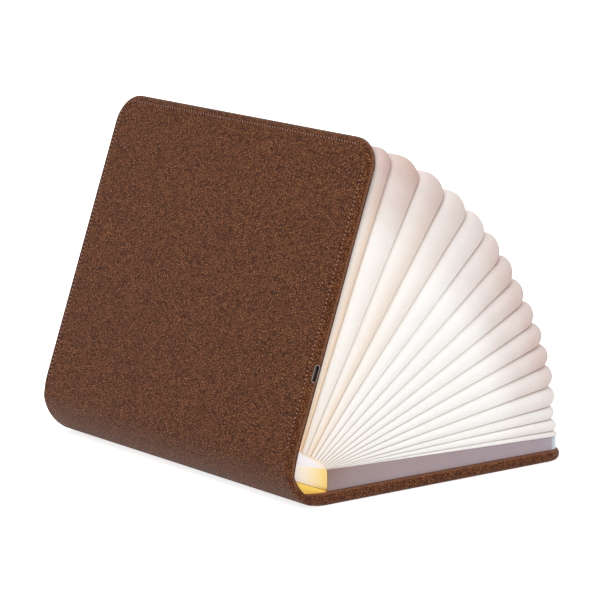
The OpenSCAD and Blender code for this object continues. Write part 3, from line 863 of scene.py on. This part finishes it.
def seam_end(k):
    if k < 0:
        return np.array([HINGE_A[0] + TRAY_REACH - 1 * MM, lid_edge(TRAY_REACH)])
    if k == LOBES:
        return front_point(PANEL_W - SEAM_END_INSET, COVER_T)
    return HINGE_A + seam_distance(k) * above(seam_angle(k)) + seam_reach(k) * heading(seam_angle(k))


HUB_MID = seam_start(LOBES_BELOW)
MID_DIR = unit(seam_end(LOBES_BELOW) - HUB_MID)


def page_stations():
    """Round the page edge: share of the run, angle round the corner, share of the fore-edge, side."""
    runs = [0, 0.01, 0.03, 0.06, 0.1, 0.15, 0.22, 0.3, 0.38, 0.46, 0.54, 0.62, 0.7, 0.78, 0.86, 0.93, 1]
    arc = [math.pi / 2 * k / 8 for k in range(1, 9)]
    edge = np.linspace(-1, 1, 15)[1:-1]
    rows = [(f, 0.0, None, -1) for f in runs] + [(1, a, None, -1) for a in arc]
    rows += [(1, math.pi / 2, y, 0) for y in edge]
    rows += [(1, a, None, 1) for a in reversed(arc)] + [(f, 0.0, None, 1) for f in reversed(runs)]
    return rows


STATIONS = page_stations()
ACROSS = [0, 0.04, 0.1, 0.2, 0.32, 0.44, 0.56, 0.68, 0.8, 0.9, 0.96, 1]


def fold_turn(point, height):
    """The point's turn as follow_fold has it, so that the closed lamp has it at this height over hinge A."""
    turns = []
    for hinge, drop, before in ((HINGE_A, -height, 0.0), (HINGE_B, HINGE_SPAN - height, HALF_OPEN)):
        arm = point - hinge
        lean = math.asin(max(-1.0, min(1.0, drop / max(np.linalg.norm(arm), 1e-9))))
        turns.append((math.atan2(arm[1], arm[0]) - before + lean) / HALF_OPEN)
    return max(turns[0], 0.0) if turns[0] <= 1 else 1 + min(max(turns[1], 0.0), 1.0)


def along_seam(k, f, angle):
    """A seam's point at share f of its run and at an angle round the corner, its direction and its run."""
    start, end = seam_start(k), seam_end(k)
    direction, run = unit(end - start), np.linalg.norm(end - start) - PAGE_R
    return start + direction * (f * run + PAGE_R * math.sin(angle)), direction, run


def lobe_section(k, station, seed):
    """Outer and inner points of the lobe between seams k and k + 1 at a station. Each has its run, its share
    of the way across, its turn and the lobe's width."""
    f, angle, y_share, side = station
    low, low_dir, low_run = along_seam(k, f, angle)
    high, high_dir, _ = along_seam(k + 1, f, angle)
    width = np.linalg.norm(high - low)
    flat = PAGE_HALF - PAGE_R
    y = y_share * flat if y_share is not None else side * (flat + PAGE_R * math.cos(angle))
    gap = min(SEAM_GAP / 2 / width, 0.3)
    rows = []
    for lift in (0, -PAPER_T):
        for v in (ACROSS if lift == 0 else ACROSS[::-1]):
            t = gap + (1 - 2 * gap) * v
            bow = (4 * v * (1 - v)) ** BOW
            rise = min(CROWN, CROWN_SHARE * width) * bow
            side_rise = min(SIDE_CROWN, SIDE_SHARE * width) * bow
            base = low + (high - low) * t
            out = unit(low_dir + (high_dir - low_dir) * t)
            ripple = sum(
                part * noise.noise(Vector((base[0] * scale, y * scale, base[1] * scale + seed)))
                for part, scale in ((1, 45), (0.5, 140)))
            more = lift + RIPPLE * ripple * bow * min(1, width / (6 * MM))
            point = base + out * (rise + more) * math.sin(angle)
            y_out = y + side * (side_rise + more) * math.cos(angle)
            run = min(1, (f * low_run + PAGE_R * math.sin(angle)) / (low_run + PAGE_R))
            turn = fold_turn(point, seam_height(k) + (seam_height(k + 1) - seam_height(k)) * t)
            rows.append(((point[0], y_out, point[1]), run, v, turn, width))
    return rows


def make_lobe(k):
    rows = [lobe_section(k, station, 7.3 * k) for station in STATIONS]
    points = [p[0] for row in rows for p in row]
    made = mesh_object(f"paper_lobe_{k + 1:02d}", points, tube_faces(len(rows), len(rows[0])), PAPER)
    values = nearest_values(made, points, [p[1:] for row in rows for p in row])
    set_attribute(made, "run", values[:, 0])
    narrow = np.clip(0.9 * MM / np.maximum(values[:, 3], 1e-6), 0.05, 0.5)
    set_attribute(made, "seam", np.clip((abs(2 * values[:, 1] - 1) - (1 - narrow)) / narrow, 0, 1))
    set_attribute(made, "across", values[:, 1])
    set_attribute(made, "shade", np.full(len(values), SHADED.get(k + 1, 0.0)))
    set_attribute(made, "fan", np.full(len(values), (k + 0.5) / LOBES))
    if k < 0:
        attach(made, "back_cover")
    else:
        follow_fold(made, values[:, 2], f"page_lobe_{k + 1:02d}")


for lobe in range(-1, LOBES):
    make_lobe(lobe)

# ---------------- tray and plate
TRAY_HALF = COVER_H / 2 - PAGE_MARGIN
TRAY_CORNER = 6.5 * MM
LID_T = 1.7 * MM
PLATE_INSET = 2.5 * MM  # of the plate's ends, inside the pages'
PLATE_MARGIN = 11 * MM  # from the plate's fore-edge to the cover's


def outline(near, far, half, near_r, far_r):
    """A closed plan in (u, y) with rounded corners."""
    points = []
    corners = ((far, -1, far_r, 0), (far, 1, far_r, 1), (near, 1, near_r, 2), (near, -1, near_r, 3))
    for u_edge, side, r, quarter in corners:
        u_mid = u_edge - r if u_edge == far else u_edge + r
        for k in range(9):
            a = math.pi / 2 * (quarter - 1 + k / 8)
            points.append((u_mid + r * math.cos(a), side * (half - r) + r * math.sin(a)))
        if quarter in (1, 3):
            straight = np.linspace(u_mid, near + near_r if quarter == 1 else far - far_r, 20)[1:-1]
            points += [(u, side * half) for u in straight]
    return points


def ringed(name, rings, to_plane, material):
    """A solid from rings of (plan, height at u), closed by a flat face at both ends."""
    points = []
    for plan, height in rings:
        for u, y in plan:
            x, z = to_plane(u, height(u))
            points.append((x, y, z))
    return mesh_object(name, points, tube_faces(len(rings), len(rings[0][0])), material), points


def tray_plan(inset):
    return outline(PAGE_START + inset, TRAY_REACH - inset, TRAY_HALF - inset, 0.4 * MM, TRAY_CORNER - inset)


def tray_floor(u):
    """Height of the leather's inner face under the tray. It rises a little towards the spine."""
    if u < FLAT_START:
        ahead = INNER[INNER[:, 0] > 0]
        return float(np.interp(u, ahead[:, 0], ahead[:, 1]))
    return float(COVER_T + inner_rise(u))


def tray_ring(inset, lift, from_floor=False):
    level = (lambda u: tray_floor(u) + lift) if from_floor else (lambda u: lid_edge(u) + lift)
    return tray_plan(inset), level


def finish_tray(made, points, node):
    values = []
    for x, _, z in points:
        u = x - HINGE_A[0]
        run, height = (u - PAGE_START) / (TRAY_REACH - PAGE_START), (z - COVER_T) / (lid_edge(u) - COVER_T)
        # share of the painted corner highlight, rising over the fore-edge corner's rounding
        past = u - TRAY_REACH + 1.05 * TRAY_CORNER
        values.append((run, height, smooth_share(past / (0.3 * TRAY_CORNER))))
    values = nearest_values(made, points, values)
    for column, attribute in enumerate(("run", "height", "corner")):
        set_attribute(made, attribute, values[:, column])
    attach(made, "back_cover")
    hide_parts(node)


def make_tray():
    """The case and its lid, from rings of (inset, height) in mm."""
    seat = [(6, 0.02), (0.5, 0.02), (0, 0.4)]  # over the leather
    groove = [(0, -0.05), (0.05, 0), (2, 0)]  # over the lid's underside
    top = [(0, -0.4), (0.12, -0.12), (0.4, 0), (2.4, 0)]  # over the lid's edge
    case = [tray_ring(inset * MM, lift * MM, True) for inset, lift in seat]
    case += [tray_ring(inset * MM, lift * MM - LID_T) for inset, lift in groove]
    finish_tray(*ringed("tray_case", case, back_point, TRAY_SHELL), "battery_tray")
    lid = [tray_ring(inset * MM, abs(lift) * MM - LID_T) for inset, lift in reversed(groove)]
    lid += [tray_ring(inset * MM, lift * MM) for inset, lift in top]
    lid += [(tray_plan(3.4 * MM), lambda u: max(lid_edge(u), TRAY_TOP))]
    finish_tray(*ringed("tray_cap", lid, back_point, TRAY_SHELL), "tray_lid")


def make_plate():
    def plan(inset):
        far, half = PANEL_W - PLATE_MARGIN - inset, PAGE_HALF - PLATE_INSET - inset
        return outline(PAGE_START + inset, far, half, 1 * MM, 5 * MM)

    rings = [(plan(0), lambda u: COVER_T), (plan(0), lambda u: COVER_T + PLATE_T - 0.3 * MM),
             (plan(0.3 * MM), lambda u: COVER_T + PLATE_T)]
    made, _ = ringed("page_board", rings, front_point, FINISHES[SLOT_OF["page_plate"]])
    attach(made, "front_cover")
    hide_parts("page_plate")


def tray_material():
    """Lilac-grey moulded plastic: browner by the hub, lighter low down, with a painted bluish-white highlight
    round the fore-edge corner.
    """
    material, n = new_material("tray_shell")
    at = n.coordinates()
    cloud = n.noise(30.0, 3.0, 0.5, at)
    grain = n.noise(3000.0, 2.0, 0.5, at)
    tone = n.ramp(n.attribute("run"), [
        (0.0, linear(128, 98, 88)), (0.10, linear(150, 128, 126)), (0.3, linear(160, 140, 144)),
        (1.0, linear(164, 148, 158))])
    tone = n.mix(n.span(n.attribute("height"), 0.35, 0.0), tone, linear(176, 166, 176))
    tone = n.mix(n.times(cloud, 0.2), tone, linear(150, 134, 126))
    # painted bluish-white highlight on the rounded fore-edge corner
    tone = n.mix(n.attribute("corner"), tone, linear(196, 208, 216))
    n.principled({"Base Color": tone, "Roughness": 0.5, "Normal": n.bump(grain, 0.00005, 0.4)})
    return material


TRAY_SHELL = tray_material()
make_tray()
make_plate()

# ---------------- gussets at the spine's ends
GUSSET_Y = COVER_H / 2 - PAGE_MARGIN - 0.3 * MM  # of the outer skin, at the pleats
GUSSET_T = 0.4 * MM
TUCK = 0.3 * MM  # paper let into the leather and under the lobes' ends
GUSSET_ROWS, GUSSET_COLUMNS = 30, 15  # the rows are those of each half
GUSSET_SLOPE = 0.4 * MM  # how much deeper the paper lies at the leather than by the pleats
GUSSET_FOOT = np.array([HINGE_A[0], 0])
FOLD_HIGH = GUSSET_FOOT + MM * np.array([(-7.3, 21.5), (7.0, 18.0)])
FOLD_LOW = GUSSET_FOOT + MM * np.array([(-7.6, 13.5), (8.0, 7.2)])
CREASES = ((0.5 * MM, 0.8 * MM), (0.8 * MM, 0.7 * MM))  # depth and width of the upper and the lower fold


def split_curve(curve, foot, direction):
    """Where the curve, walked from its start, crosses the line, and the index after the crossing."""
    sides = [cross2(p - foot, direction) for p in curve]
    for i in range(len(curve) - 1):
        if sides[i] * sides[i + 1] <= 0:
            t = sides[i] / (sides[i] - sides[i + 1])
            return curve[i] + t * (curve[i + 1] - curve[i]), i + 1
    raise ValueError("the curve doesn't meet the line")


def gusset_edges(lower):
    """The two edges of half a gusset, from its middle outwards: along the bellows and along the leather."""
    inside = [p for p in INNER if p[0] < PAGE_START + 0.5 * MM]
    leather = [back_point(u, w - TUCK) for u, w in inside[::-1]]
    leather += [front_point(u, w - TUCK) for u, w in INNER if u < 8.5 * MM]
    cut, index = split_curve(leather, HUB_MID, MID_DIR)
    tuck = TUCK * MID_DIR
    if lower:
        tray = HINGE_A[0] + PAGE_START
        corner = back_point(*next(p for p in INNER if p[0] >= PAGE_START))
        bellows = [HUB_MID + tuck, HUB_LINE[0] + tuck, np.array([tray + TUCK, corner[1] - TUCK])]
        return bellows, [cut] + leather[:index][::-1]
    return [HUB_MID + tuck, HUB_LINE[1] + tuck, HUB_LINE[2] + tuck], [cut] + leather[index:]


def past_fold(p, fold):
    """How far the point lies below the fold line, in metres."""
    return -cross2(unit(fold[1] - fold[0]), p - fold[0])


def hub_turn(p):
    """The turn of a point on the hub line, as the pleats that start there have it."""
    if p[1] < HUB_LINE[0][1]:
        return 0.0
    along = np.linalg.norm(p - HUB_LINE[0])
    if along > HUB_RUN[1]:
        along = HUB_RUN[1] + np.linalg.norm(p - HUB_LINE[1])
    return fold_turn(p, seam_height(LOBES * min(1.0, along / HUB_RUN[-1]) ** (1 / HUB_POWER)))


LEATHER_POINTS = np.array([back_point(u, w) for u, w in INNER] + [front_point(u, w) for u, w in INNER])
BEND_SHARE = smooth_share((RUN + BEND_REACH) / (2 * BEND_REACH))
LEATHER_TURNS = np.concatenate([1 - BEND_SHARE, 1 + BEND_SHARE])


def leather_turn(p):
    return LEATHER_TURNS[np.argmin(np.linalg.norm(LEATHER_POINTS - p, axis=1))]


def make_gusset(name, side):
    """The folded end paper, as two skins with a row per place along the hub line."""
    halves = zip(gusset_edges(True), gusset_edges(False))
    halves = [[resample(np.array(edge), GUSSET_ROWS)[0] for edge in pair] for pair in halves]
    bellows, leather = (np.concatenate([below[::-1], over[1:]]) for below, over in halves)
    rows, columns = len(bellows), GUSSET_COLUMNS
    points, known = [], []
    for skin in (0, 1):
        for i in range(rows):
            ends = hub_turn(bellows[i]), leather_turn(leather[i])
            for j in range(columns):
                s = j / (columns - 1)
                p = bellows[i] + (leather[i] - bellows[i]) * s
                past = past_fold(p, FOLD_HIGH), past_fold(p, FOLD_LOW)
                crease = sum(deep * math.exp(-(far / wide) ** 2) for far, (deep, wide) in zip(past, CREASES))
                y = side * (GUSSET_Y - GUSSET_SLOPE * s - crease - skin * GUSSET_T)
                points.append((p[0], y, p[1]))
                turn = ends[0] + (ends[1] - ends[0]) * s
                known.append((turn, past[0] / MM, past[1] / MM, (p[0] - HINGE_A[0]) / (10 * MM), s))
    n = rows * columns
    faces = grid_faces(rows, columns) + grid_faces(rows, columns, n)
    grid = np.arange(n).reshape(rows, columns)
    rim = np.concatenate([grid[:, 0], grid[-1, 1:], grid[-2::-1, -1], grid[0, -2:0:-1]]).tolist()
    faces += [(a, b, b + n, a + n) for a, b in zip(rim, rim[1:] + rim[:1])]
    made = mesh_object(name + "_paper", points, faces, GUSSET_PAPER)
    values = nearest_values(made, points, known)
    for column, attribute in enumerate(("high", "low", "right", "inward"), 1):
        set_attribute(made, attribute, values[:, column])
    follow_fold(made, values[:, 0], name)


def gusset_material():
    """Folded end paper, lit from behind: cool white above the upper fold, cream to yellow between the folds,
    full yellow below the lower one. Of the attributes, high and low are mm below each fold, right is cm from
    hinge A towards the tray, and inward is 0 by the pleats and 1 at the leather."""
    material, n = new_material("gusset_paper")
    at = n.coordinates()
    fibre = n.noise(700.0, 4.0, 0.6, at)
    high, low, right = n.attribute("high"), n.attribute("low"), n.attribute("right")
    past_high, past_low = n.span(high, 0.0, 1.0, -0.4, 0.4), n.span(low, 0.0, 1.0, -0.2, 0.2)
    line = n.times(n.ramp(n.math("ABSOLUTE", n.times(low, 2.2)), [(0.0, 1), (0.6, 0)]), 0.85)
    top = n.mix(fibre, linear(236, 230, 232), linear(244, 238, 240))
    middle = n.ramp(n.math("ADD", n.times(right, 0.5), 0.5), [
        (0.0, linear(238, 228, 222)), (0.35, linear(244, 226, 198)), (0.75, linear(240, 212, 146)),
        (1.0, linear(242, 198, 92))])
    colour = n.mix(past_high, top, middle)
    rim = n.ramp(n.attribute("inward"), [
        (0.0, 1), (0.14, 0), (0.92, 0), (0.97, 0.6)])
    colour = n.mix(n.times(rim, 0.7), colour, linear(248, 216, 140))
    colour = n.mix(past_low, colour, linear(236, 196, 84))
    colour = n.mix(line, colour, linear(150, 104, 20))
    level = n.dimmed(n.span(past_low, 0.16, 0.2), line)
    n.principled({
        "Base Color": colour, "Roughness": 0.6, "Emission Color": colour, "Emission Strength": level,
        "Normal": n.bump(fibre, 0.0001, 0.4)})
    return material


GUSSET_PAPER = gusset_material()
make_gusset("gusset_tail", -1)
make_gusset("gusset_head", 1)
